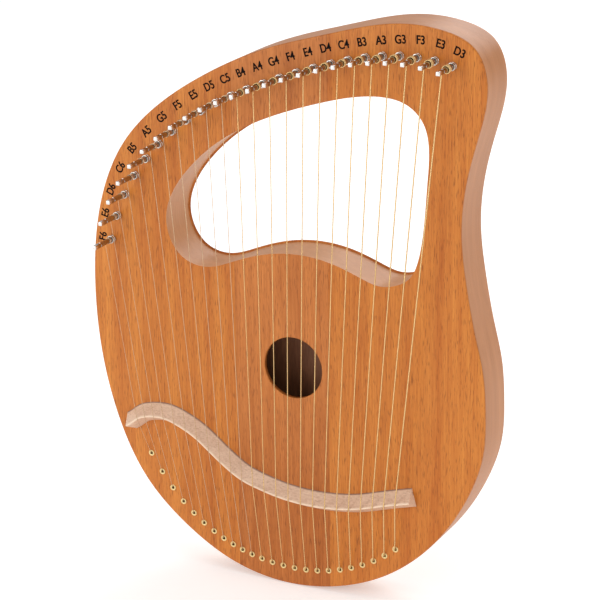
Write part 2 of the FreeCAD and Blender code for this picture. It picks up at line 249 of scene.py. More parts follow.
class Shape:
    """Surfaces gathered into one closed mesh."""

    def __init__(self):
        self.points, self.faces, self.slots, self.smooth, self.along = [], [], [], [], []
        self.count = 0

    def add(self, points, faces, slot, smooth, along):
        self.faces += [[corner + self.count for corner in face] for face in faces]
        self.slots += [slot] * len(faces)
        self.smooth += [smooth] * len(faces)
        self.points.append(points)
        self.along.append(along)
        self.count += len(points)

    def surface(self, grid, close_rows=False, close_columns=True, slot=0, along=None):
        """A grid of points, joined by a four-sided face between each four neighbours."""
        rows, columns = grid.shape[:2]
        row, column = np.meshgrid(
            np.arange(rows if close_rows else rows - 1),
            np.arange(columns if close_columns else columns - 1), indexing="ij")
        below, beside = (row + 1) % rows, (column + 1) % columns
        faces = np.stack([row * columns + column, row * columns + beside,
                          below * columns + beside, below * columns + column], -1)
        run = np.zeros((rows, columns)) if along is None else along * np.ones((rows, columns))
        run = run.ravel()
        self.add(grid.reshape(-1, 3), faces.reshape(-1, 4).tolist(), slot, True, run)

    def sheet(self, loops, depth, slot=0):
        """A flat face inside the first loop with the other loops cut out, as triangles."""
        triangles = tessellate_polygon([[Vector((x, z, 0)) for x, z in loop] for loop in loops])
        points = stood(np.vstack(loops), depth)
        self.add(points, triangles, slot, False, np.zeros(len(points)))

    def make(self, name, finishes, body, stands_for=(), sharp=40):
        """One object: doubles merged, faces turned outwards, riding on its body."""
        mesh = bpy.data.meshes.new(name)
        mesh.from_pydata(np.vstack(self.points), [], self.faces)
        mesh.polygons.foreach_set("material_index", self.slots)
        mesh.polygons.foreach_set("use_smooth", self.smooth)
        run = mesh.attributes.new("along", "FLOAT", "POINT")
        run.data.foreach_set("value", np.concatenate(self.along).astype(np.float32))
        work = bmesh.new()
        work.from_mesh(mesh)
        bmesh.ops.remove_doubles(work, verts=work.verts, dist=MERGE_DISTANCE)
        bmesh.ops.recalc_face_normals(work, faces=work.faces)
        work.to_mesh(mesh)
        work.free()
        mesh.set_sharp_from_angle(angle=math.radians(sharp))
        for finish in finishes:
            mesh.materials.append(finish)
        piece = bpy.data.objects.new(name, mesh)
        bpy.context.scene.collection.objects.link(piece)
        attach(piece, body)
        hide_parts(*stands_for)


class Edge:
    """One closed edge of a slab: its loop, the way out of the wood, and its roundings.

    A floor depth makes it the edge of a blind pocket cut from the slab's front.
    """

    def __init__(self, loop, out, back_round=0.0, front_round=0.0, floor=None, slot=1):
        self.loop, self.out = loop, out
        self.back_round, self.front_round = back_round, front_round
        self.floor, self.slot = floor, slot


def hole(centre, radius, count, **roundings):
    loop = circle(centre, radius, count)
    return Edge(loop, left_of(loop), **roundings)


def slab(shape, edges, back, front, back_slot=0, front_slot=0):
    """A flat board: each edge's loop is drawn in along a quarter circle at each rounding and
    runs straight between them, and two sheets close it."""
    turn = np.linspace(0, math.pi / 2, 7)[:, None, None]
    back_loops, front_loops = [], []
    for edge in edges:
        floor = back if edge.floor is None else edge.floor
        behind, ahead = edge.loop[None], edge.loop[None]
        behind_depth, ahead_depth = np.full((1, 1), floor), np.full((1, 1), front)
        if edge.back_round:
            behind = behind - edge.out * edge.back_round * (1 - np.sin(turn))
            behind_depth = floor - edge.back_round * (1 - np.cos(turn[..., 0]))
            shape.surface(stood(behind, behind_depth), slot=back_slot)
        if edge.front_round:
            ahead = ahead - edge.out * edge.front_round * (1 - np.cos(turn))
            ahead_depth = front + edge.front_round * (1 - np.sin(turn[..., 0]))
            shape.surface(stood(ahead, ahead_depth), slot=front_slot)
        wall = np.stack([stood(behind[-1], behind_depth[-1]), stood(ahead[0], ahead_depth[0])])
        shape.surface(wall, slot=edge.slot)
        front_loops.append(ahead[-1])
        if edge.floor is None:
            back_loops.append(behind[0])
        else:
            shape.sheet([edge.loop], floor, back_slot)
    shape.sheet(back_loops, back, back_slot)
    shape.sheet(front_loops, front, front_slot)


def turned(shape, centres, radii, depths, count=32, closed=True):
    """A profile of radii and depths turned about each centre, along the depth.

    A closed profile makes a ring; an open one starts and ends on the axis.
    """
    radii, depths = np.asarray(radii)[:, None], np.asarray(depths)[:, None]
    flat = circle((0, 0), 1.0, count)[None] * radii[..., None]
    for centre in centres:
        shape.surface(stood(flat + centre, depths), close_rows=closed)


def rounded_profile(points, radius, steps=4):
    """A closed profile with each corner cut by a quadratic curve over the given length."""
    points = np.array(points, float)
    before, after = np.roll(points, 1, axis=0), np.roll(points, -1, axis=0)
    to_before, to_after = before - points, after - points
    near, far = np.linalg.norm(to_before, axis=1), np.linalg.norm(to_after, axis=1)
    cut = np.minimum(radius, 0.45 * np.minimum(near, far))[:, None]
    start = points + to_before / near[:, None] * cut
    end = points + to_after / far[:, None] * cut
    share = np.linspace(0, 1, steps)[None, :, None]
    mixed = ((1 - share) ** 2 * start[:, None] + 2 * share * (1 - share) * points[:, None]
             + share ** 2 * end[:, None])
    return mixed.reshape(-1, 2).T


def wire(shape, points, sides, radius, count=10):
    """A round wire: at each point of the path, a circle in the plane of the side direction
    and its cross product with the way ahead, closed by a point at each end."""
    step = np.diff(points, axis=0)
    step /= np.linalg.norm(step, axis=1)[:, None]
    ahead = np.vstack([step[:1], step[:-1] + step[1:], step[-1:]])
    ahead /= np.linalg.norm(ahead, axis=1)[:, None]
    across = np.cross(ahead, sides)
    angle = np.arange(count) * 2 * math.pi / count
    ring = (np.cos(angle)[None, :, None] * sides[:, None]
            + np.sin(angle)[None, :, None] * across[:, None]) * radius
    size = np.ones(len(points) + 2)
    size[[0, -1]] = 0
    row = np.r_[0, np.arange(len(points)), len(points) - 1]
    grid = points[row][:, None] + ring[row] * size[:, None, None]
    shape.surface(grid, along=travelled(points)[row][:, None])


# ---------------------------------------------------------------- finishes
class Value:
    """A shader socket in Python arithmetic: each operator adds one Math node."""

    def __init__(self, finish, socket):
        self.finish, self.socket = finish, socket

    def math(self, operation, *values, clamp=False):
        settings = {"operation": operation, "use_clamp": clamp}
        return self.finish.node("ShaderNodeMath", settings, dict(enumerate(values)))

    def __add__(self, other):
        return self.math("ADD", self, other)

    def __sub__(self, other):
        return self.math("SUBTRACT", self, other)

    def __rsub__(self, other):
        return self.math("SUBTRACT", other, self)

    def __mul__(self, other):
        return self.math("MULTIPLY", self, other)

    def __truediv__(self, other):
        return self.math("DIVIDE", self, other)

    def __gt__(self, other):
        return self.math("GREATER_THAN", self, other)

    def __lt__(self, other):
        return self.math("LESS_THAN", self, other)

    __radd__ = __add__
    __rmul__ = __mul__

    def sine(self):
        return self.math("SINE", self)

    def size(self):
        return self.math("ABSOLUTE", self)

    def clamped(self):
        return self.math("ADD", self, 0.0, clamp=True)

    def between(self, low, high):
        """0 at low, 1 at high, even in between and level beyond; low may be the larger."""
        return ((self - low) / (high - low)).clamped()


def linear(colour):
    """A picked screen colour as linear light."""
    return [(c / 12.92 if c <= 0.04045 else ((c + 0.055) / 1.055) ** 2.4) for c in colour] + [1.0]


class Finish:
    """A material under construction, with its coordinates at hand."""

    def __init__(self, name, constants):
        self.material = bpy.data.materials.new(name)
        self.material.use_nodes = True
        self.tree = self.material.node_tree
        self.shader = self.tree.nodes["Principled BSDF"]
        for socket, value in constants.items():
            self.shader.inputs[socket].default_value = value
        self.place = self.node("ShaderNodeTexCoord", output="Object")
        self.x, self.y, self.z = (
            self.node("ShaderNodeSeparateXYZ", inputs={"Vector": self.place}, output=axis)
            for axis in range(3))

    def feed(self, socket, value):
        if isinstance(value, Value):
            self.tree.links.new(value.socket, socket)
        else:
            socket.default_value = value

    def node(self, kind, settings=None, inputs=None, output=0):
        """Any node: its settings are set first, then its sockets get values or links."""
        node = self.tree.nodes.new(kind)
        for name, value in (settings or {}).items():
            setattr(node, name, value)
        for name, value in (inputs or {}).items():
            self.feed(node.inputs[name], value)
        return Value(self, node.outputs[output])

    def noise(self, across, deep, along, detail=2.0, shift=0.0):
        """Even noise from 0 to 1 with that many cells to the metre along X, Y and Z."""
        stretched = self.node("ShaderNodeCombineXYZ", inputs={
            0: self.x * across + shift, 1: self.y * deep, 2: self.z * along})
        return self.node("ShaderNodeTexNoise", inputs={
            "Vector": stretched, "Scale": 1.0, "Detail": detail, "Roughness": 0.55})

    def mix(self, share, one, other):
        """One colour where share is 0, the other where it is 1."""
        return self.node("ShaderNodeMix", {"data_type": "RGBA"},
                         {0: share, 6: one, 7: other}, output=2)

    def done(self, colour=None, roughness=None, height=None, relief=0.0, strength=1.0):
        """Links what varies to the shader; height is in units of the relief, in metres."""
        if colour is not None:
            self.feed(self.shader.inputs["Base Color"], colour)
        if roughness is not None:
            self.feed(self.shader.inputs["Roughness"], roughness)
        if height is not None:
            bumped = self.node("ShaderNodeBump", inputs={
                "Strength": strength, "Distance": relief, "Height": height})
            self.feed(self.shader.inputs["Normal"], bumped)
        return self.material


def colour_of(name):
    return linear(getattr(bpy.context.scene.lyre_harp_colours, name))


def made_once(maker):
    """A finish is made the first time that it is asked for."""
    def finish():
        name = maker.__name__
        if name not in bpy.data.materials:
            maker(name)
        return bpy.data.materials[name]
    return finish


def open_grain(finish, shift=0.0):
    """(broad bands, fine streaks, pores) of straight-grained wood standing along Z."""
    bands = finish.noise(60, 60, 1.6, 3.0, shift)
    streaks = finish.noise(620, 620, 22, 3.0, shift)
    pores = finish.noise(1100, 1100, 110, 1.5, shift).between(0.56, 0.72)
    return bands, streaks, pores


@made_once
def front_mahogany(name):
    """Three boards glued side by side, the middle one redder, with thin glue lines."""
    finish = Finish(name, {"Coat Weight": 0.10, "Coat Roughness": 0.28, "Specular IOR Level": 0.22})
    left, right = sizes().middle_board_left, sizes().middle_board_right
    middle = (finish.x > left) * (finish.x < right)
    board = middle * 3.7 + (finish.x > right) * 9.1
    bands, streaks, pores = open_grain(finish, board)
    clouds = finish.noise(9, 9, 5, 2.0, board)
    share = (0.5 + (bands - 0.5) * 1.5 + (streaks - 0.5) * 1.3 + (clouds - 0.5) * 0.5).clamped()
    outer = finish.mix(share, colour_of("front_dark"), colour_of("front_light"))
    low = finish.z.between(-0.10, -0.23)
    inner = finish.mix((share - low * 0.25).clamped(), colour_of("middle_dark"),
                       colour_of("middle_light"))
    wood = finish.mix(middle, outer, inner)
    glue = (finish.x - left).size().math("MINIMUM", (finish.x - left).size(),
                                         (finish.x - right).size()) < 0.00022
    dark = finish.mix((pores * 0.55 + glue * 0.35).clamped(), wood, colour_of("pore"))
    # Painted shade: the outer part of the rounded edges, away from the face, is darkened halfway to
    # the pore colour.
    rim = finish.y.between(FACE + 0.0009, FACE + 0.0017)
    dark = finish.mix(rim * 0.5, dark, colour_of("pore"))
    relief = streaks * 0.35 - pores * 1.0 - glue * 0.6
    return finish.done(dark, 0.40 + pores * 0.18 + (streaks - 0.5) * 0.12, relief, 0.00006)


def edge_mahogany(name, light, dark_tone):
    """Paler wood of the plates' and the rim's cut edges."""
    finish = Finish(name, {"Coat Weight": 0.12, "Coat Roughness": 0.3, "Specular IOR Level": 0.25})
    bands = finish.noise(30, 55, 3.0, 3.0)
    streaks = finish.noise(260, 420, 9, 3.0)
    pores = finish.noise(900, 1300, 60, 1.0).between(0.64, 0.76)
    share = (0.5 + (bands - 0.5) * 1.4 + (streaks - 0.5) * 0.9).clamped()
    wood = finish.mix(share, colour_of(dark_tone), colour_of(light))
    dark = finish.mix(pores * 0.25, wood, colour_of("front_dark"))
    return finish.done(dark, 0.46 + (streaks - 0.5) * 0.1, streaks * 0.4 - pores, 0.00005)


@made_once
def side_mahogany(name):
    return edge_mahogany(name, "side_light", "side_dark")


@made_once
def opening_mahogany(name):
    """The hand opening's wall: the sides' wood in lighter colours, which is painted light."""
    return edge_mahogany(name, "opening_light", "opening_dark")


@made_once
def back_mahogany(name):
    """Two boards joined on the middle line."""
    finish = Finish(name, {"Coat Weight": 0.10, "Coat Roughness": 0.28, "Specular IOR Level": 0.22})
    half = finish.x > 0.0
    bands, streaks, pores = open_grain(finish, half * 5.3 + 20.0)
    share = (0.5 + (bands - 0.5) * 1.6 + (streaks - 0.5) * 1.3).clamped()
    wood = finish.mix(share, colour_of("front_dark"), colour_of("front_light"))
    glue = finish.x.size() < 0.00022
    dark = finish.mix((pores * 0.55 + glue * 0.35).clamped(), wood, colour_of("pore"))
    return finish.done(dark, 0.42 + pores * 0.18, streaks * 0.35 - pores - glue, 0.00006)


def plain_wood(name, light, dark, across, along):
    """Close-grained wood with broad bands and short flecks."""
    finish = Finish(name, {"Specular IOR Level": 0.3})
    bands = finish.noise(across, across, along, 3.0)
    flecks = finish.noise(6 * across, 6 * across, 8 * along, 2.0)
    share = (0.5 + (bands - 0.5) * 1.2 + (flecks - 0.5) * 1.2).clamped()
    wood = finish.mix(share, colour_of(dark), colour_of(light))
    return finish.done(wood, 0.5 + (flecks - 0.5) * 0.15, flecks, 0.00004)


# Painted shade: wood inside the body, darker than the same wood outside.
@made_once
def inside_mahogany(name):
    return plain_wood(name, "inside_light", "inside_dark", 110, 9)


@made_once
def block_maple(name):
    return plain_wood(name, "bridge_light", "bridge_dark", 90, 6)


@made_once
def brace_spruce(name):
    return plain_wood(name, "bridge_light", "side_dark", 40, 140)


@made_once
def bridge_beech(name):
    """Pale beech, its short brown flecks lying along the bridge."""
    finish = Finish(name, {"Coat Weight": 0.08, "Coat Roughness": 0.35, "Specular IOR Level": 0.3})
    bands = finish.noise(18, 60, 90, 3.0)
    grain = finish.noise(330, 500, 900, 3.0)
    flecks = finish.noise(420, 700, 1100, 1.0).between(0.56, 0.70)
    share = (0.55 + (bands - 0.5) * 1.2 + (grain - 0.5) * 1.5).clamped()
    wood = finish.mix(share, colour_of("bridge_dark"), colour_of("bridge_light"))
    dark = finish.mix(flecks * 0.3, wood, colour_of("bridge_fleck"))
    # Painted highlight: a band along the ridge is mixed halfway to the pale ridge colour.
    ridge = finish.y.between(BRIDGE_TOP + 0.0014, BRIDGE_TOP + 0.0006)
    wear_and_highlight = finish.mix(ridge * 0.5, dark, colour_of("bridge_worn"))
    # Painted shadow: a thin band along the upper side of the foot, where the bridge meets the
    # board, is darkened towards the pore colour.
    across = finish.node("ShaderNodeAttribute", {"attribute_name": "along"}, output="Fac")
    foot = finish.y.between(FACE - 0.0016, FACE - 0.0006) * (across > 0.002)
    shade = finish.mix(foot * 0.75, wear_and_highlight, colour_of("pore"))
    return finish.done(shade, 0.46 + (grain - 0.5) * 0.14, grain * 0.6 - flecks, 0.00009)


def metal(name, colour, roughness, lines):
    """Turned metal: faint lines round the axis and a little unevenness in its shine."""
    finish = Finish(name, {"Metallic": 1.0})
    rings = finish.noise(20, lines, 20, 2.0)
    smears = finish.noise(300, 300, 300, 2.0)
    tone = colour_of(colour)
    wear_and_highlight = [0.72 * c for c in tone[:3]] + [1.0]
    shade = finish.mix((smears.between(0.35, 0.85) * 0.5).clamped(), tone, wear_and_highlight)
    rough = roughness + (smears - 0.5) * 0.12 + (rings - 0.5) * 0.10
    return finish.done(shade, rough, rings, 0.000012)


@made_once
def bushing_nickel(name):
    return metal(name, "nickel", 0.20, 3000)


@made_once
def pin_nickel(name):
    """Nickel with a painted highlight: lighter towards the pin's end."""
    finish = Finish(name, {"Metallic": 1.0})
    rings = finish.noise(20, 2600, 20, 2.0)
    smears = finish.noise(300, 300, 300, 2.0)
    # Painted highlight: the last part of the head is mixed to the pale pin-end colour.
    end = finish.y.between(PIN_TIP + 0.0050, PIN_TIP + 0.0030)
    plain = finish.mix(smears.between(0.35, 0.85) * 0.5, colour_of("steel"), colour_of("nickel"))
    shade = finish.mix(end, plain, colour_of("polish"))
    rough = 0.13 + (smears - 0.5) * 0.12 + end * 0.12
    return finish.done(shade, rough, rings, 0.000012)


def frame_brass():
    """The frame's own plain brass, which the eyelets and ferrules keep."""
    return bpy.data.materials["eyelet_brass"]


@made_once
def ball_brass(name):
    return metal(name, "brass", 0.28, 1200)


@made_once
def plain_wire(name):
    return metal(name, "plain_wire", 0.22, 900)


@made_once
def wound_wire(name):
    """Bronze winding: a rounded ridge for each turn, by the distance along the string."""
    finish = Finish(name, {"Metallic": 1.0})
    pitch = sizes().winding_pitch
    run = finish.node("ShaderNodeAttribute", {"attribute_name": "along"}, output="Fac")
    ridge = ((run * (math.pi / pitch)).sine()).size()
    smears = finish.noise(200, 200, 40, 2.0)
    tone = colour_of("bronze")
    # Painted shade: the grooves between the turns are darkened to about a third of the bronze.
    groove = [0.35 * c for c in tone[:3]] + [1.0]
    shade = finish.mix((1 - ridge) * 0.6, tone, groove)
    return finish.done(shade, 0.24 + (smears - 0.5) * 0.12, ridge, 0.00004)


@made_once
def name_ink(name):
    """Thin dark print, a little uneven where it sank into the grain."""
    finish = Finish(name, {"Specular IOR Level": 0.08})
    sunk = finish.noise(1200, 1200, 90, 2.0).between(0.5, 0.8)
    shade = finish.mix(sunk * 0.18, colour_of("ink"), colour_of("pore"))
    return finish.done(shade, 0.5 + sunk * 0.2)


# ---------------------------------------------------------------- sizes and colours
def length(name, description, default):
    return FloatProperty(name=name, description=description, default=default, min=0.0,
                         unit="LENGTH", subtype="DISTANCE", precision=5)


def colour(name, description, red, green, blue):
    return FloatVectorProperty(name=name, description=description, size=3, min=0.0, max=1.0,
                               default=(red / 255, green / 255, blue / 255),
                               subtype="COLOR_GAMMA")


class LyreHarpSizes(bpy.types.PropertyGroup):
    """Sizes that the frame doesn't give."""

    edge_radius: length("Edge radius", "Rounding of the plates' outer edges", 0.0018)
    rim_wall: length("Rim wall", "Thickness of the hollow rim", 0.012)
    chamber_bar: length("Chamber bar", "Wood between the hand opening and the chamber", 0.014)
    block_margin: length("Block margin", "Pin block beyond the bushings", 0.0075)
    sound_hole_radius: length("Sound hole", "Radius of the sound hole", 0.030)
    hole_bevel: length("Hole rounding", "Rounding of the sound hole's edge", 0.0007)
    middle_board_left: FloatProperty(name="Left joint", default=-0.050, unit="LENGTH",
                                     description="Where the left and middle boards meet")
    middle_board_right: FloatProperty(name="Right joint", default=0.047, unit="LENGTH",
                                      description="Where the middle and right boards meet")
    bridge_width: length("Bridge width", "Width across the bridge's foot", 0.0185)
    bridge_ridge_shift: length("Ridge shift", "Ridge off the middle, downwards", 0.0015)
    bridge_ridge_radius: length("Ridge radius", "Rounding of the bridge's ridge", 0.0009)
    notch_clearance: length("Notch clearance", "Room round a string in its notch", 0.0001)
    thread_pitch: length("Thread pitch", "Pitch of the pins' fine thread", 0.0008)
    thread_depth: length("Thread depth", "Depth of the pins' fine thread", 0.00016)
    winding_pitch: length("Winding pitch", "Pitch of the wound strings' winding", 0.00022)
    name_height: length("Name height", "Height of the note names' letters", 0.0077)
    outline_points: IntProperty(name="Outline points", default=640, min=64,
                                description="Points round the body's outline")


class LyreHarpColours(bpy.types.PropertyGroup):
    """Colours as they are seen on screen."""

    front_light: colour("Front, light", "Light grain of the front", 214, 134, 56)
    front_dark: colour("Front, dark", "Dark grain of the front", 178, 94, 30)
    middle_light: colour("Middle board, light", "Light grain of the middle board", 208, 128, 62)
    middle_dark: colour("Middle board, dark", "Dark grain of the middle board", 170, 93, 36)
    # The pore colour also paints the shade on the front's rounded edges and along the bridge's
    # upper foot.
    pore: colour("Pore", "Open pores and glue lines", 100, 44, 16)
    side_light: colour("Side, light", "Light grain of the sides", 192, 130, 84)
    side_dark: colour("Side, dark", "Dark grain of the sides", 166, 106, 60)
    # Painted light: the opening's colours are the sides' wood made lighter.
    opening_light: colour("Opening, light", "Light grain of the opening's wall", 208, 151, 104)
    opening_dark: colour("Opening, dark", "Dark grain of the opening's wall", 185, 129, 82)
    bridge_light: colour("Bridge, light", "Light grain of the bridge", 234, 204, 178)
    bridge_dark: colour("Bridge, dark", "Dark grain of the bridge", 204, 166, 138)
    bridge_fleck: colour("Bridge fleck", "Short flecks in the bridge", 150, 106, 78)
    # Painted highlight along the bridge's ridge.
    bridge_worn: colour("Bridge ridge", "Worn ridge of the bridge", 252, 228, 200)
    # Painted shade: the inside colours are darker than the wood outside.
    inside_light: colour("Inside, light", "Light grain inside the body", 168, 112, 78)
    inside_dark: colour("Inside, dark", "Dark grain inside the body", 124, 78, 54)
    nickel: colour("Nickel", "Bushings", 204, 198, 190)
    # Painted highlight on the pins' ends.
    polish: colour("Pin ends", "Polished ends of the tuning pins", 226, 223, 219)
    steel: colour("Pin metal", "Tuning pins", 172, 164, 156)
    brass: colour("Brass", "Ball ends", 248, 220, 140)
    plain_wire: colour("Plain wire", "Plain strings", 206, 176, 142)
    bronze: colour("Bronze", "Wound strings", 242, 206, 146)
    ink: colour("Ink", "Note names", 10, 4, 2)


class LyreHarpStage(bpy.types.PropertyGroup):
    """The camera and the light."""

    aim: FloatVectorProperty(name="Aim", description="Point that the camera looks at",
                             default=(0.018, -0.048, 0.0108), subtype="XYZ", unit="LENGTH")
    toward: FloatVectorProperty(name="Toward", description="Direction from the aim to the camera",
                                default=(0.4257, -0.8465, 0.3194), subtype="DIRECTION")
    distance: length("Distance", "From the aim to the camera", 2.241)
    roll: FloatProperty(name="Roll", description="Turn about the line of sight",
                        default=math.radians(-0.6), subtype="ANGLE")
    lens: FloatProperty(name="Lens", description="Focal length in millimetres", default=145.3)
    sky: FloatProperty(name="Sky", description="Strength of the even light", default=0.56)
    key: FloatProperty(name="Key light", description="Power of the key light in watts", default=33)
    fill: FloatProperty(name="Fill light", description="Power of the right light in watts",
                        default=12.5)
    top: FloatProperty(name="Top light", description="Power of the top light in watts", default=11)
    back: FloatProperty(name="Back light", description="Power of the back light in watts",
                        default=40)


def sizes():
    return bpy.context.scene.lyre_harp_sizes


# ---------------------------------------------------------------- pieces
def body_edge(**roundings):
    loop = even_loop(BODY_OUTLINE, sizes().outline_points)
    return Edge(loop, -left_of(loop), **roundings)


def opening_edge(**roundings):
    loop = even_loop(HAND_OPENING, sizes().outline_points // 2)
    return Edge(loop, left_of(loop), **roundings)


def chamber_edge(body, opening):
    """The outline drawn in by the rim's wall and cut straight off under the hand opening."""
    inner = body.loop - body.out * sizes().rim_wall
    top = opening.loop[:, 1].min() - sizes().chamber_bar
    start = np.argmax((inner[:, 1] > top) & (np.roll(inner[:, 1], -1) <= top))
    inner = np.roll(inner, -start, axis=0)
    below = inner[inner[:, 1] <= top]
    last = len(below)
    first_cut = cut_at(inner[0], inner[1], top)
    last_cut = cut_at(inner[last], inner[last + 1], top)
    loop = np.vstack([first_cut, below, last_cut])
    return Edge(loop, left_of(loop))


def cut_at(one, other, height):
    """Where the straight line between two flat points crosses a height."""
    share = (height - one[1]) / (other[1] - one[1])
    return one + (other - one) * share


def pocket_edge():
    """The pin block's pocket: the row of pins widened to both sides and run past its ends."""
    half = BUSHING_RADIUS + sizes().block_margin
    row = PIN_PLACES.copy()
    left = left_of_line(row)
    ahead = np.stack([left[:, 1], -left[:, 0]], -1)
    row[0] -= ahead[0] * half
    row[-1] += ahead[-1] * half
    loop = np.vstack([row - left * half, (row + left * half)[::-1]])
    return Edge(loop, left_of(loop), floor=BLOCK_FLOOR)


class LYRE_OT_rim(bpy.types.Operator):
    """Build the hollow rim between the two plates"""

    bl_idname = "lyre.rim"
    bl_label = "Rim"

    def execute(self, context):
        body, opening = body_edge(slot=0), opening_edge(slot=2)
        shape = Shape()
        edges = [body, opening, chamber_edge(body, opening), pocket_edge()]
        slab(shape, edges, RIM_BACK, RIM_FRONT)
        finishes = [side_mahogany(), inside_mahogany(), opening_mahogany()]
        shape.make("rim", finishes, "harp_body", ["body_rim"])
        return {"FINISHED"}


class LYRE_OT_front_plate(bpy.types.Operator):
    """Build the front plate with its sound hole and the bores for pins and eyelets"""

    bl_idname = "lyre.front_plate"
    bl_label = "Front plate"

    def execute(self, context):
        edge = sizes().edge_radius
        barrel = EYELET_RADIUS * BARREL_SHARE
        centre = np.array(SOUND_HOLE_CENTRE) * MM
        edges = [body_edge(front_round=edge), opening_edge(front_round=edge, slot=2)]
        edges.append(hole(centre, sizes().sound_hole_radius, 128, slot=0,
                          front_round=sizes().hole_bevel))
        edges += [hole(place, BUSHING_RADIUS, 32) for place in PIN_PLACES]
        edges += [hole(place, barrel, 24) for place in EYELET_PLACES]
        shape = Shape()
        slab(shape, edges, RIM_FRONT, FACE)
        finishes = [front_mahogany(), side_mahogany(), opening_mahogany()]
        shape.make("front_plate", finishes, "harp_body", ["soundboard"])
        return {"FINISHED"}


class LYRE_OT_rear_plate(bpy.types.Operator):
    """Build the rear plate with the bores for the ferrules"""

    bl_idname = "lyre.rear_plate"
    bl_label = "Rear plate"

    def execute(self, context):
        edge = sizes().edge_radius
        edges = [body_edge(back_round=edge), opening_edge(back_round=edge, slot=3)]
        edges += [hole(place, FERRULE_RADIUS, 32) for place in EYELET_PLACES]
        shape = Shape()
        slab(shape, edges, BACK, RIM_BACK, front_slot=2)
        finishes = [back_mahogany(), side_mahogany(), inside_mahogany(), opening_mahogany()]
        shape.make("rear_plate", finishes, "harp_body", ["back_plate"])
        return {"FINISHED"}


def ridge_line(stations):
    """(middle line, left directions, ridge line) of the bridge at distances from its left end."""
    line = even_line(BRIDGE_LINE, stations)
    left = left_of_line(line)
    return line, left, line - left * sizes().bridge_ridge_shift


def crossing(start, end, line):
    """Where the straight line from start to end crosses a row of points, and how far along
    the row."""
    way = end - start
    side = (line[:, 0] - start[0]) * way[1] - (line[:, 1] - start[1]) * way[0]
    i = np.argmax(side[:-1] * side[1:] <= 0)
    share = side[i] / (side[i] - side[i + 1])
    return line[i] + (line[i + 1] - line[i]) * share, i + share


BRIDGE_CHORD = travelled(np.array(BRIDGE_LINE) * MM)[-1]
RIDGE_STATIONS = 800
# In millimetres along the bridge: its mesh's step, how far the closer steps reach on each
# side of a string, and the rounding of its ends.
MESH_STEP = 1.2
NOTCH_REACH = 1.1
END_ROUNDING = 0.35
GROOVE_REACH = 6


def string_plan(string):
    """A string's corner points: ball end, eyelet's mouth, over the bridge, and coil.

    Seen from the front it runs straight from its eyelet to touch its coil on the left.
    """
    way = string.pin - string.foot
    far = np.hypot(*way)
    turn = math.asin(string.coil_radius / far)
    heading = np.array([way[0] * math.cos(turn) - way[1] * math.sin(turn),
                        way[0] * math.sin(turn) + way[1] * math.cos(turn)]) / far
    touch = string.foot + heading * math.sqrt(far ** 2 - string.coil_radius ** 2)
    ridge = ridge_line(np.linspace(0, BRIDGE_CHORD, RIDGE_STATIONS))[2]
    over, station = crossing(string.foot, touch, ridge)
    mouth_depth = EYELET_FRONT - string.radius - sizes().notch_clearance
    corner = np.array([stood(string.foot, string.seat), stood(string.foot, mouth_depth),
                       stood(over, BRIDGE_TOP), stood(touch, string.coil_front + string.radius)])
    return corner, station / (RIDGE_STATIONS - 1) * BRIDGE_CHORD


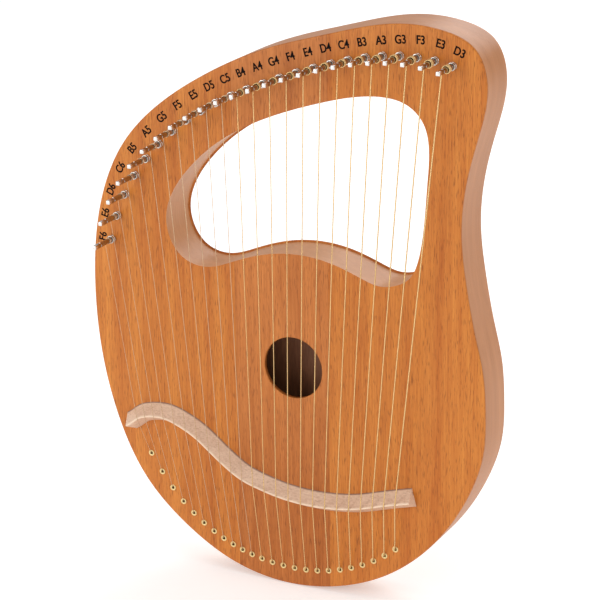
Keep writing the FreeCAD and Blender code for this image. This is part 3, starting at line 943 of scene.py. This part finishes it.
class LYRE_OT_bridge(bpy.types.Operator):
    """Build the S-shaped bridge with a shallow notch for each string"""

    bl_idname = "lyre.bridge"
    bl_label = "Bridge"

    def execute(self, context):
        plans = [string_plan(string) for string in STRINGS]
        places = np.array([place for _, place in plans])[:, None]
        close = places + np.linspace(-NOTCH_REACH, NOTCH_REACH, 15) * MM
        ends = np.array([0, 0.12, 0.35, 0.7]) * MM
        stations = np.r_[np.arange(0, BRIDGE_CHORD, MESH_STEP * MM), close.ravel(), ends,
                         BRIDGE_CHORD - ends]
        stations = np.unique(np.clip(np.round(stations, 6), 0, BRIDGE_CHORD))
        line, left, _ = ridge_line(stations)
        across, rise = self.profile()
        rounding = END_ROUNDING * MM
        from_end = np.minimum(stations, BRIDGE_CHORD - stations)
        inset = rounding * (1 - np.sqrt(1 - (1 - np.minimum(from_end / rounding, 1)) ** 2))
        middle = across.mean()
        share = 1 - 2 * inset[:, None] / sizes().bridge_width
        across = middle + (across[None] - middle) * share
        rise = np.broadcast_to(rise[None] * share, across.shape)
        flat = line[:, None] + left[:, None] * across[..., None]
        depth = self.notched(flat, FACE - rise, plans)
        grid = stood(flat, depth)
        shape = Shape()
        shape.surface(grid, along=across)
        for end in (grid[0], grid[-1]):
            shape.add(end, [list(range(len(end)))], 0, False, np.zeros(len(end)))
        shape.make("string_bridge", [bridge_beech()], "harp_body", ["bridge"],
                   sharp=50)
        return {"FINISHED"}

    def profile(self):
        """(offset to the left, height) round the section: upper face, round ridge, lower face
        and foot."""
        half = sizes().bridge_width / 2
        top = FACE - BRIDGE_TOP
        shift = sizes().bridge_ridge_shift
        radius = sizes().bridge_ridge_radius
        apex = top + radius * (1 / math.sin(math.atan2(half, top)) - 1)
        upper, lower = math.atan2(apex, half + shift), math.atan2(apex, half - shift)
        turn = np.linspace(math.pi / 2 - upper, lower - math.pi / 2, 9)
        ridge = np.stack([-shift + radius * np.sin(turn), top - radius + radius * np.cos(turn)], -1)
        fall = np.linspace(0, 1, 12)[1:-1, None]
        first, last = np.array([half, 0.0]), np.array([-half, 0.0])
        foot = first + np.linspace(0, 1, 8)[1:-1, None] * (last - first)
        down = np.vstack([last + (ridge[-1] - last) * (1 - fall), last])
        up = np.vstack([first, first + (ridge[0] - first) * fall])
        return np.vstack([up, ridge, down, foot[::-1]]).T

    def notched(self, flat, depth, plans):
        """Depths pressed back to a round groove under each string's own line over the ridge."""
        for string, (corner, _) in zip(STRINGS, plans):
            mouth, over, coil = corner[1:]
            way = (coil - mouth)[[0, 2]]
            way /= np.hypot(*way)
            from_over = flat - over[[0, 2]]
            run = from_over @ way
            aside = from_over @ np.array([-way[1], way[0]])
            steep = (over[1] - mouth[1]) / np.hypot(*(over - mouth)[[0, 2]])
            shallow = (coil[1] - over[1]) / np.hypot(*(coil - over)[[0, 2]])
            wire_depth = over[1] + np.maximum(run * steep, run * shallow)
            wide = string.radius + sizes().notch_clearance
            groove = wire_depth + np.sqrt(np.maximum(wide ** 2 - aside ** 2, 0))
            inside = (np.abs(aside) < wide) & (np.abs(run) < GROOVE_REACH * MM)
            depth = np.where(inside, np.maximum(depth, groove), depth)
        return depth


def square_reach(angle, half):
    """Radius of a square with softened corners, of that half width, in each direction."""
    power = 14
    return half / (np.abs(np.cos(angle)) ** power + np.abs(np.sin(angle)) ** power) ** (1 / power)


class LYRE_OT_tuning_pins(bpy.types.Operator):
    """Build the 24 tuning pins, each on its own body"""

    bl_idname = "lyre.tuning_pins"
    bl_label = "Tuning pins"
    head_length: length("Head length", "Length of the square head", 0.010)
    head_flats: length("Head flats", "Across the head's flats at its base", 0.0043)
    tip_flats: length("Tip flats", "Across the head's flats at its tip", 0.0040)

    def execute(self, context):
        grid = self.pin_surface()
        for note, place in zip(NOTES, PIN_PLACES):
            shape = Shape()
            shape.surface(grid + stood(place, 0.0))
            shape.make("pin_" + note, [pin_nickel()], "pin_" + note,
                       ["tuning_pin_" + note], sharp=35)
        return {"FINISHED"}

    def pin_surface(self):
        """A grid of turned points whose radius depends on depth and direction: a helical
        thread below, a plain shank, and the lesser of the shank and a tapered square above."""
        pitch, thread = sizes().thread_pitch, sizes().thread_depth
        head = PIN_TIP + self.head_length
        thread_end = FACE - 8.5 * MM
        chamfer, tip_narrowing = 0.9 * MM, 0.42
        depth = np.r_[
            PIN_FOOT, PIN_FOOT, PIN_FOOT - 0.5 * MM,
            np.arange(PIN_FOOT - 0.7 * MM, thread_end, -pitch / 5), thread_end,
            np.linspace(thread_end - 0.2 * MM, head + 0.15 * MM, 6), head, head - 0.12 * MM,
            np.linspace(head - 0.6 * MM, PIN_TIP + chamfer, 6),
            PIN_TIP + chamfer * (1 - np.sin(np.linspace(0.25, 1, 5) * math.pi / 2)), PIN_TIP]
        angle = np.arange(32) * 2 * math.pi / 32
        run, turn = np.meshgrid(depth, angle, indexing="ij")
        from_end, from_foot = run - thread_end, PIN_FOOT - run
        threaded = np.clip(from_end / pitch, 0, 1) * np.clip(from_foot / pitch, 0, 1)
        groove = 0.5 - 0.5 * np.cos(run / pitch * 2 * math.pi - turn)
        radius = PIN_RADIUS - thread * groove * threaded
        taper = np.clip((head - run) / self.head_length, 0, 1)
        half = (self.head_flats + (self.tip_flats - self.head_flats) * taper) / 2
        squared = np.minimum(radius, square_reach(turn, half))
        radius = np.where(run < head - 0.1 * MM, squared, radius)
        rounding = np.clip((PIN_TIP + chamfer - run) / chamfer, 0, 1)
        radius = radius * (1 - tip_narrowing * (1 - np.sqrt(1 - rounding ** 2)))
        radius[[0, -1]] = 0
        radius[1] = PIN_RADIUS - 0.5 * MM
        flat = radius[..., None] * np.stack([np.cos(turn), np.sin(turn)], -1)
        return stood(flat, run)


class LYRE_OT_bushings(bpy.types.Operator):
    """Build the nickel bushings that the pins stand in"""

    bl_idname = "lyre.bushings"
    bl_label = "Bushings"

    def execute(self, context):
        bore = PIN_RADIUS + 0.08 * MM
        lip = BUSHING_RADIUS - 0.15 * MM
        profile = rounded_profile([
            (bore, BUSHING_BACK), (BUSHING_RADIUS, BUSHING_BACK),
            (BUSHING_RADIUS, FACE - 1.2 * MM), (lip - 0.25 * MM, FACE - 1.6 * MM),
            (lip - 0.25 * MM, FACE - 2.1 * MM), (BUSHING_RADIUS, FACE - 2.5 * MM),
            (BUSHING_RADIUS, BUSHING_FRONT), (bore, BUSHING_FRONT)], 0.6 * MM, 6)
        shape = Shape()
        turned(shape, PIN_PLACES, *profile, count=40)
        shape.make("bushings", [bushing_nickel()], "harp_body", ["pin_bushings"])
        return {"FINISHED"}


class LYRE_OT_eyelets(bpy.types.Operator):
    """Build the brass eyelets that the strings come out of"""

    bl_idname = "lyre.eyelets"
    bl_label = "Eyelets"
    bore: length("Bore", "Radius of the eyelets' bore", 0.0013)
    wall: length("Wall", "Wall of the eyelets' barrel", 0.0006)

    def execute(self, context):
        barrel = self.bore + self.wall
        profile = rounded_profile([
            (self.bore, EYELET_BACK), (barrel, EYELET_BACK), (barrel, FACE),
            (EYELET_RADIUS, FACE), (EYELET_RADIUS - 0.1 * MM, EYELET_FRONT),
            (self.bore + 0.2 * MM, EYELET_FRONT), (self.bore, FACE + 0.4 * MM)], 0.5 * MM, 5)
        shape = Shape()
        turned(shape, EYELET_PLACES, *profile)
        shape.make("eyelets", [frame_brass()], "harp_body", ["string_eyelets"])
        return {"FINISHED"}


class LYRE_OT_ferrules(bpy.types.Operator):
    """Build the rear ferrules and the ball ends that sit in them"""

    bl_idname = "lyre.ferrules"
    bl_label = "Ferrules and ball ends"
    channel: length("Channel", "Radius of the string's channel", 0.0013)
    clearance: length("Clearance", "Room round a ball end", 0.0002)

    def execute(self, context):
        pocket = BALL_RADIUS + self.clearance
        floor = STRINGS[0].seat
        profile = rounded_profile([
            (self.channel, FERRULE_FRONT), (FERRULE_RADIUS, FERRULE_FRONT),
            (FERRULE_RADIUS, BACK), (pocket, BACK), (pocket, floor), (self.channel, floor)],
            0.35 * MM, 4)
        ferrules = Shape()
        turned(ferrules, EYELET_PLACES, *profile)
        ferrules.make("ferrules", [frame_brass()], "harp_body", ["rear_ferrules"])
        height = np.linspace(0, 1, 15)
        waist = BALL_RADIUS * (1 - 0.42 * np.exp(-((height - 0.5) / 0.16) ** 2))
        waist *= 1 - 0.12 * (np.abs(height * 2 - 1) ** 8)
        radii = np.r_[0, waist, 0]
        depths = np.r_[floor, floor + height * (BALL_BACK - floor), BALL_BACK]
        balls = Shape()
        turned(balls, EYELET_PLACES, radii, depths, closed=False)
        balls.make("ball_ends", [ball_brass()], "harp_body", ["string_ball_ends"])
        return {"FINISHED"}


def arc_corner(before, corner, after, radius, steps=9):
    """Points of the arc of that radius that touches both straight runs at a corner."""
    back = (before - corner) / np.linalg.norm(before - corner)
    on = (after - corner) / np.linalg.norm(after - corner)
    half = math.acos(np.clip(back @ on, -1, 1)) / 2
    middle = (back + on) / np.linalg.norm(back + on)
    centre = corner + middle * (radius / math.sin(half))
    sweep = np.linspace(half - math.pi / 2, math.pi / 2 - half, steps)[:, None]
    aside = (on - back) / np.linalg.norm(on - back)
    return centre - middle * radius * np.cos(sweep) + aside * radius * np.sin(sweep)


class LYRE_OT_strings(bpy.types.Operator):
    """Build the 24 strings, from their ball ends over the bridge to their coils"""

    bl_idname = "lyre.strings"
    bl_label = "Strings"
    plain_count: IntProperty(name="Plain strings", default=11,
                             description="Strings with no winding")
    plain_turns: FloatProperty(name="Plain turns", default=6.4, description="Turns on a pin")
    wound_turns: FloatProperty(name="Wound turns", default=3.4, description="Turns on a pin")
    ridge_bend: length("Ridge bend", "Radius of the bend over the bridge", 0.004)
    mouth_bend: length("Mouth bend", "Radius of the bend at the eyelet", 0.0015)

    def execute(self, context):
        for index, string in enumerate(STRINGS):
            is_plain = index < self.plain_count
            finish = plain_wire() if is_plain else wound_wire()
            turns = self.plain_turns if is_plain else self.wound_turns
            points, sides = self.route(string, turns)
            shape = Shape()
            wire(shape, points, sides, string.radius)
            shape.make("string_wire_" + string.note, [finish], "harp_body",
                       ["string_" + string.note], sharp=60)
        return {"FINISHED"}

    def route(self, string, turns):
        """(points, side directions): straight runs joined by arcs, then a helix about the pin.

        The helix goes round clockwise from where the string touches it and moves evenly
        towards the body; over its last part it draws in just under the pin's surface.
        """
        turn_points, last_part, sunk = 26, 1.1, 0.9
        corner = string_plan(string)[0]
        seat, mouth, over, coil = corner
        out = (coil[[0, 2]] - string.pin) / string.coil_radius
        runs = np.vstack([seat, arc_corner(seat, mouth, over, self.mouth_bend),
                          arc_corner(mouth, over, coil, self.ridge_bend)])
        start = math.atan2(out[1], out[0])
        turn = np.linspace(0, turns * 2 * math.pi, int(turns * turn_points))
        reach = string.coil_back - string.coil_front - 2 * string.radius
        ending = np.clip((turn - turn[-1]) / last_part + 1, 0, 1) ** 2
        radius = string.coil_radius - ending * (string.coil_radius - PIN_RADIUS * sunk)
        way = np.stack([np.cos(start - turn), np.sin(start - turn)], -1)
        depth = coil[1] + reach * turn / turn[-1]
        helix = stood(string.pin + way * radius[:, None], depth)
        sides = np.vstack([np.tile(stood(out, 0.0), (len(runs), 1)),
                           stood(way, np.zeros(len(way)))])
        return np.vstack([runs, helix]), sides


CAPITAL_SHARE = 0.70  # a capital's height beside the letter size


class LYRE_OT_note_names(bpy.types.Operator):
    """Print the note names beside the pins"""

    bl_idname = "lyre.note_names"
    bl_label = "Note names"
    condensed: FloatProperty(name="Condensed", default=0.82, description="Width of the letters")
    weight: length("Weight", "Added to the letters' strokes", 0.00022)
    print_height: length("Print height", "How far the print stands proud", 0.00004)
    spread: length("Spread", "Between the two strikes that make a letter bold", 0.00028)

    def execute(self, context):
        numbers = np.array(sorted(NAME_ROW), float)
        keys = np.array([NAME_ROW[int(n)] for n in numbers], float) * MM
        every = np.arange(1.0, len(NOTES) + 1)
        places = spline(numbers, keys, every)
        ahead = spline(numbers, keys, every + 0.01) - spline(numbers, keys, every - 0.01)
        ahead /= np.linalg.norm(ahead, axis=1)[:, None]
        shape = Shape()
        for note, place, way in zip(NOTES, places, ahead):
            points, faces = self.letters(note)
            up = np.array([-way[1], way[0]])
            flat = place + points[:, :1] * way + points[:, 1:2] * up
            for strike in (-0.5, 0.5):
                depth = FACE - points[:, 2] * (1.2 + strike)
                struck = stood(flat + way * strike * self.spread, depth)
                shape.add(struck, faces, 0, False, np.zeros(len(points)))
        shape.make("note_names", [name_ink()], "harp_body")
        return {"FINISHED"}

    def letters(self, text):
        """(points, faces) of a text as a thin solid, in the middle of its own plane."""
        curve = bpy.data.curves.new(text, "FONT")
        curve.body = text
        curve.size = sizes().name_height / CAPITAL_SHARE
        curve.offset = self.weight
        curve.extrude = self.print_height / 2
        holder = bpy.data.objects.new(text, curve)
        mesh = bpy.data.meshes.new_from_object(holder)
        points = np.empty(len(mesh.vertices) * 3, np.float32)
        mesh.vertices.foreach_get("co", points)
        points = points.reshape(-1, 3).astype(float)
        points[:, :2] -= (points[:, :2].min(0) + points[:, :2].max(0)) / 2
        points[:, 0] *= self.condensed
        points[:, 2] += self.print_height / 2
        faces = [tuple(face.vertices) for face in mesh.polygons]
        bpy.data.objects.remove(holder)
        bpy.data.curves.remove(curve)
        bpy.data.meshes.remove(mesh)
        return points, faces


class LYRE_OT_inner_wood(bpy.types.Operator):
    """Give the blocks and braces inside the body their wood"""

    bl_idname = "lyre.inner_wood"
    bl_label = "Blocks and braces"

    def execute(self, context):
        finishes = {"pin_block": block_maple, "tail_block": block_maple,
                    "soundboard_braces": brace_spruce, "back_brace": brace_spruce}
        for node, finish in finishes.items():
            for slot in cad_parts[node].material_slots:
                slot.material = finish()
        return {"FINISHED"}


# ---------------------------------------------------------------- the stage
class LYRE_OT_stage(bpy.types.Operator):
    """Set the pale floor, the soft light and the camera"""

    bl_idname = "lyre.stage"
    bl_label = "Stage"
    floor_size: length("Floor size", "Half the width of the floor", 6.0)

    def execute(self, context):
        stage = context.scene.lyre_harp_stage
        aim, toward = Vector(stage.aim), Vector(stage.toward).normalized()
        camera = bpy.data.objects.new("camera", bpy.data.cameras.new("camera"))
        camera.data.lens = stage.lens
        camera.data.clip_end = 50.0
        camera.location = aim + toward * stage.distance
        camera.rotation_mode = "QUATERNION"
        straight = (-toward).to_track_quat("-Z", "Y")
        camera.rotation_quaternion = straight @ Quaternion((0, 0, 1), stage.roll)
        context.scene.collection.objects.link(camera)
        context.scene.camera = camera
        self.light("key_light", (-1.7, -2.6, 0.9), aim, stage.key, 1.6)
        self.light("fill_light", (2.5, -0.8, 0.8), aim, stage.fill, 1.6)
        self.light("top_light", (-0.3, -0.4, 2.6), aim, stage.top, 1.6)
        self.light("back_light", (0.2, 2.4, 1.7), aim, stage.back, 2.2)
        self.floor(context)
        self.world(context.scene, stage.sky)
        context.scene.view_settings.view_transform = "Standard"
        return {"FINISHED"}

    def light(self, name, place, aim, power, size):
        lamp = bpy.data.lights.new(name, "AREA")
        lamp.energy, lamp.size = power, size
        light = bpy.data.objects.new(name, lamp)
        light.location = place
        light.rotation_mode = "QUATERNION"
        light.rotation_quaternion = (aim - Vector(place)).to_track_quat("-Z", "Y")
        bpy.context.scene.collection.objects.link(light)

    def floor(self, context):
        """One square just under the harp's lowest point."""
        half, height = self.floor_size, cad_bounds[0][2] - 0.0002
        mesh = bpy.data.meshes.new("floor")
        mesh.from_pydata([(-half, -half, height), (half, -half, height), (half, half, height),
                          (-half, half, height)], [], [(0, 1, 2, 3)])
        finish = Finish("pale_floor", {
            "Roughness": 0.9, "Specular IOR Level": 0.0,
            "Emission Color": (1, 1, 1, 1), "Emission Strength": 0.32})
        paper = finish.noise(40, 40, 40, 3.0)
        white, pale = [0.90, 0.90, 0.90, 1], [0.86, 0.86, 0.86, 1]
        mesh.materials.append(finish.done(finish.mix(paper, white, pale)))
        floor = bpy.data.objects.new("floor", mesh)
        context.scene.collection.objects.link(floor)

    def world(self, scene, strength):
        """Even light, with a white background where the camera looks past everything."""
        world = bpy.data.worlds.new("soft_white")
        scene.world = world
        world.use_nodes = True
        tree = world.node_tree
        light = tree.nodes["Background"]
        light.inputs["Color"].default_value = (1, 1, 1, 1)
        path = tree.nodes.new("ShaderNodeLightPath")
        mix = tree.nodes.new("ShaderNodeMix")
        mix.inputs[2].default_value = strength
        mix.inputs[3].default_value = 1.0
        tree.links.new(path.outputs["Is Camera Ray"], mix.inputs[0])
        tree.links.new(mix.outputs[0], light.inputs["Strength"])


MAKERS = (
    LYRE_OT_stage, LYRE_OT_rim, LYRE_OT_front_plate, LYRE_OT_rear_plate, LYRE_OT_inner_wood,
    LYRE_OT_bridge, LYRE_OT_tuning_pins, LYRE_OT_bushings, LYRE_OT_eyelets, LYRE_OT_ferrules,
    LYRE_OT_strings, LYRE_OT_note_names,
)
GROUPS = {
    "lyre_harp_sizes": LyreHarpSizes,
    "lyre_harp_colours": LyreHarpColours,
    "lyre_harp_stage": LyreHarpStage,
}


class LYRE_PT_panel(bpy.types.Panel):
    """The harp's sizes, colours and makers"""

    bl_label = "Lyre Harp"
    bl_idname = "LYRE_PT_panel"
    bl_space_type = "VIEW_3D"
    bl_region_type = "UI"
    bl_category = "Lyre Harp"

    def draw(self, context):
        for name, group in GROUPS.items():
            box = self.layout.box()
            for prop in group.__annotations__:
                box.prop(getattr(context.scene, name), prop)
        for maker in MAKERS:
            self.layout.operator(maker.bl_idname)


def register():
    for cls in (*GROUPS.values(), *MAKERS, LYRE_PT_panel):
        bpy.utils.register_class(cls)
    for name, group in GROUPS.items():
        setattr(bpy.types.Scene, name, PointerProperty(type=group))


def unregister():
    for name in GROUPS:
        delattr(bpy.types.Scene, name)
    for cls in (LYRE_PT_panel, *reversed(MAKERS), *GROUPS.values()):
        bpy.utils.unregister_class(cls)


def main():
    register()
    for maker in MAKERS:
        group, name = maker.bl_idname.split(".")
        getattr(getattr(bpy.ops, group), name)()


if __name__ == "__main__":
    main()
